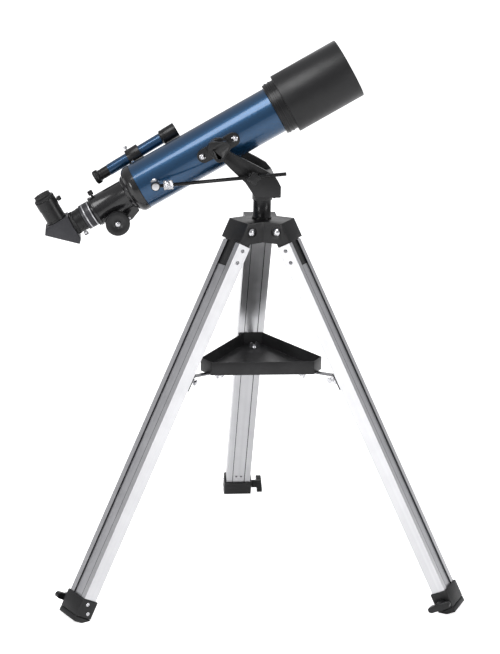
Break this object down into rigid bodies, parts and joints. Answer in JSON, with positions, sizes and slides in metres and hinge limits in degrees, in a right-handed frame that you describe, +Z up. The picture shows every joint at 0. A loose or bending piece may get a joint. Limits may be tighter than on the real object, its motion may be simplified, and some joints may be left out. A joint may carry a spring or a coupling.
{
  "type": "telescope on tripod",
  "caption": "Refracting telescope with star diagonal and finder, on an alt-azimuth yoke with a slow-motion rod and a folding aluminium tripod with a spreader tray.",
  "frame": {"origin": "middle of the floor area that the object covers, at floor height", "axes": "+Z up; the tube points along +X and 30 degrees up; the rear leg stands towards +Y"},
  "size_m": [0.7492, 0.6352, 0.9694],
  "materials": {
    "blue_lacquer": "gloss metallic lacquer",
    "black_plastic": "semi-gloss moulded",
    "matte_black": "matte",
    "black_casting": "black powder coat",
    "dark_grey_plastic": "satin",
    "aluminium": "satin extruded",
    "chrome": "polished",
    "glass": "coated",
    "rubber": "matte"
  },
  "bodies": {
    "stand": {"hub": "black_casting", "hinge_bolt_rear": "chrome", "hinge_bolt_left": "chrome", "hinge_bolt_right": "chrome", "azimuth_post": "black_plastic"},
    "yoke": {"yoke": "black_casting"},
    "azimuth_lock": {"azimuth_lock_screw": "black_plastic"},
    "tube": {"main_tube": "blue_lacquer", "objective_cell": "matte_black", "objective_lens": "glass", "dew_shield": "matte_black", "rear_cell": "black_plastic", "focuser_body": "black_plastic", "saddle_near": "black_casting", "saddle_far": "black_casting", "rod_clevis": "chrome", "finder_tube": "blue_lacquer", "finder_bracket": "black_plastic"},
    "altitude_knob_near": {"altitude_knob_near": "black_plastic"},
    "altitude_knob_far": {"altitude_knob_far": "black_plastic"},
    "rod": {"slow_motion_rod": "black_plastic"},
    "fine_adjust_nut": {"fine_adjust_nut": "chrome"},
    "swivel": {"swivel_block": "black_plastic"},
    "star_knob": {"star_knob": "black_plastic"},
    "spreader": {"tray": "black_casting", "tray_bar_rear": "aluminium", "tray_bar_left": "aluminium", "tray_bar_right": "aluminium", "bracket_plate_left": "black_casting", "bracket_plate_right": "black_casting"},
    "drawtube": {"drawtube": "dark_grey_plastic", "eyepiece_adapter": "black_plastic"},
    "focus_shaft": {"focus_shaft": "black_plastic"},
    "focus_lock": {"focus_lock_screw": "black_plastic"},
    "adapter_screw": {"adapter_thumb_screw": "chrome"},
    "diagonal": {"diagonal_housing": "dark_grey_plastic", "diagonal_prism": "glass", "eyepiece_holder": "black_plastic"},
    "holder_screw": {"holder_thumb_screw": "black_plastic"},
    "eyepiece": {"eyepiece": "rubber"},
    "finder_eyepiece": {"finder_eyepiece": "black_plastic"},
    "leg_rear": {"hinge_block_rear": "black_plastic", "upper_leg_rear": "aluminium", "leg_collar_rear": "black_plastic", "bracket_plate_rear": "black_casting"},
    "lower_rear": {"lower_leg_rear": "aluminium", "foot_rear": "black_plastic"},
    "clamp_knob_rear": {"clamp_knob_rear": "black_plastic"},
    "leg_left": {"hinge_block_left": "black_plastic", "upper_leg_left": "aluminium", "leg_collar_left": "black_plastic"},
    "lower_left": {"lower_leg_left": "aluminium", "foot_left": "black_plastic"},
    "clamp_knob_left": {"clamp_knob_left": "black_plastic"},
    "leg_right": {"hinge_block_right": "black_plastic", "upper_leg_right": "aluminium", "leg_collar_right": "black_plastic"},
    "lower_right": {"lower_leg_right": "aluminium", "foot_right": "black_plastic"},
    "clamp_knob_right": {"clamp_knob_right": "black_plastic"}
  },
  "joints": [
    {"name": "azimuth", "type": "hinge", "parent": "stand", "child": "yoke", "pos_m": [0.01808, -0.07898, 0.6615], "axis": [0, 0, 1], "continuous": true},
    {"name": "azimuth_lock", "type": "hinge", "parent": "yoke", "child": "azimuth_lock", "pos_m": [0.03808, -0.07898, 0.70115], "axis": [1, 0, 0], "range_deg": [0, 360]},
    {"name": "altitude", "type": "hinge", "parent": "yoke", "child": "tube", "pos_m": [-0.06292, -0.07898, 0.7935], "axis": [0, -1, 0], "range_deg": [-30, 20]},
    {"name": "altitude_knob_near_turn", "type": "hinge", "parent": "tube", "child": "altitude_knob_near", "pos_m": [-0.06292, -0.14398, 0.7935], "axis": [0, -1, 0], "range_deg": [0, 360]},
    {"name": "altitude_knob_far_turn", "type": "hinge", "parent": "tube", "child": "altitude_knob_far", "pos_m": [-0.06292, -0.01398, 0.7935], "axis": [0, 1, 0], "range_deg": [0, 360]},
    {"name": "rod_swing", "type": "hinge", "parent": "tube", "child": "rod", "pos_m": [-0.16992, -0.14603, 0.7315], "axis": [0, -1, 0], "range_deg": [-7, 10]},
    {"name": "fine_adjust_turn", "type": "hinge", "parent": "rod", "child": "fine_adjust_nut", "pos_m": [-0.16992, -0.14603, 0.7315], "axis": [0.9955, 0, 0.0944], "range_deg": [-180, 180]},
    {"name": "block_swing", "type": "hinge", "parent": "yoke", "child": "swivel", "pos_m": [-0.00532, -0.14603, 0.7471], "axis": [0, -1, 0], "range_deg": [-21.5, 14.5]},
    {"name": "star_knob_turn", "type": "hinge", "parent": "swivel", "child": "star_knob", "pos_m": [-0.00532, -0.14603, 0.7471], "axis": [0, -1, 0], "range_deg": [0, 360]},
    {"name": "fold_rear", "type": "hinge", "parent": "stand", "child": "leg_rear", "pos_m": [0.01808, -0.03898, 0.6455], "axis": [-1, 0, 0], "range_deg": [0, 18]},
    {"name": "fold_left", "type": "hinge", "parent": "stand", "child": "leg_left", "pos_m": [-0.01656, -0.09898, 0.6455], "axis": [0.5, -0.866, 0], "range_deg": [0, 18]},
    {"name": "fold_right", "type": "hinge", "parent": "stand", "child": "leg_right", "pos_m": [0.05272, -0.09898, 0.6455], "axis": [0.5, 0.866, 0], "range_deg": [0, 18]},
    {"name": "tray_fold", "type": "hinge", "parent": "leg_rear", "child": "spreader", "pos_m": [0.01808, 0.07017, 0.3955], "axis": [1, 0, 0], "range_deg": [0, 108]},
    {"name": "extend_rear", "type": "slide", "parent": "leg_rear", "child": "lower_rear", "axis": [0, 0.4695, -0.8829], "range_m": [0, 0.38]},
    {"name": "clamp_knob_turn_rear", "type": "hinge", "parent": "leg_rear", "child": "clamp_knob_rear", "pos_m": [0.05808, 0.29402, 0.01922], "axis": [1, 0, 0], "range_deg": [0, 360]},
    {"name": "extend_left", "type": "slide", "parent": "leg_left", "child": "lower_left", "axis": [-0.4066, -0.2347, -0.8829], "range_m": [0, 0.38]},
    {"name": "clamp_knob_turn_left", "type": "hinge", "parent": "leg_left", "child": "clamp_knob_left", "pos_m": [-0.32494, -0.23083, 0.01922], "axis": [-0.5, 0.866, 0], "range_deg": [0, 360]},
    {"name": "extend_right", "type": "slide", "parent": "leg_right", "child": "lower_right", "axis": [0.4066, -0.2347, -0.8829], "range_m": [0, 0.38]},
    {"name": "clamp_knob_turn_right", "type": "hinge", "parent": "leg_right", "child": "clamp_knob_right", "pos_m": [0.3211, -0.30012, 0.01922], "axis": [-0.5, -0.866, 0], "range_deg": [0, 360]},
    {"name": "focus", "type": "slide", "parent": "tube", "child": "drawtube", "axis": [-0.866, 0, -0.5], "range_m": [0, 0.05]},
    {"name": "focus_shaft_turn", "type": "hinge", "parent": "tube", "child": "focus_shaft", "pos_m": [-0.23275, -0.07898, 0.65965], "axis": [0, -1, 0], "range_deg": [0, 478]},
    {"name": "focus_lock_turn", "type": "hinge", "parent": "tube", "child": "focus_lock", "pos_m": [-0.27797, -0.07898, 0.70398], "axis": [-0.5, 0, 0.866], "range_deg": [0, 360]},
    {"name": "adapter_screw_turn", "type": "hinge", "parent": "drawtube", "child": "adapter_screw", "pos_m": [-0.28691, -0.07898, 0.63646], "axis": [0.5, 0, -0.866], "range_deg": [0, 360]},
    {"name": "diagonal_turn", "type": "hinge", "parent": "drawtube", "child": "diagonal", "pos_m": [-0.30541, -0.07898, 0.6535], "axis": [0.866, 0, 0.5], "continuous": true},
    {"name": "holder_screw_turn", "type": "hinge", "parent": "diagonal", "child": "holder_screw", "pos_m": [-0.35237, -0.07898, 0.68585], "axis": [0.866, 0, 0.5], "range_deg": [0, 360]},
    {"name": "eyepiece_pull", "type": "slide", "parent": "diagonal", "child": "eyepiece", "axis": [-0.5, 0, 0.866], "range_m": [0, 0.03]},
    {"name": "finder_focus", "type": "slide", "parent": "tube", "child": "finder_eyepiece", "axis": [-0.8532, -0.0193, -0.5212], "range_m": [0, 0.006]}
  ],
  "couplings": [
    {"joint": "fold_left", "follows": "fold_rear", "ratio": 1},
    {"joint": "fold_right", "follows": "fold_rear", "ratio": 1},
    {"joint": "tray_fold", "follows": "fold_rear", "ratio": 6},
    {"joint": "rod_swing", "follows": "altitude", "ratio": -0.325},
    {"joint": "block_swing", "follows": "altitude", "ratio": 0.675},
    {"joint": "focus_shaft_turn", "follows": "focus", "rad_per_m": 166.67}
  ]
}
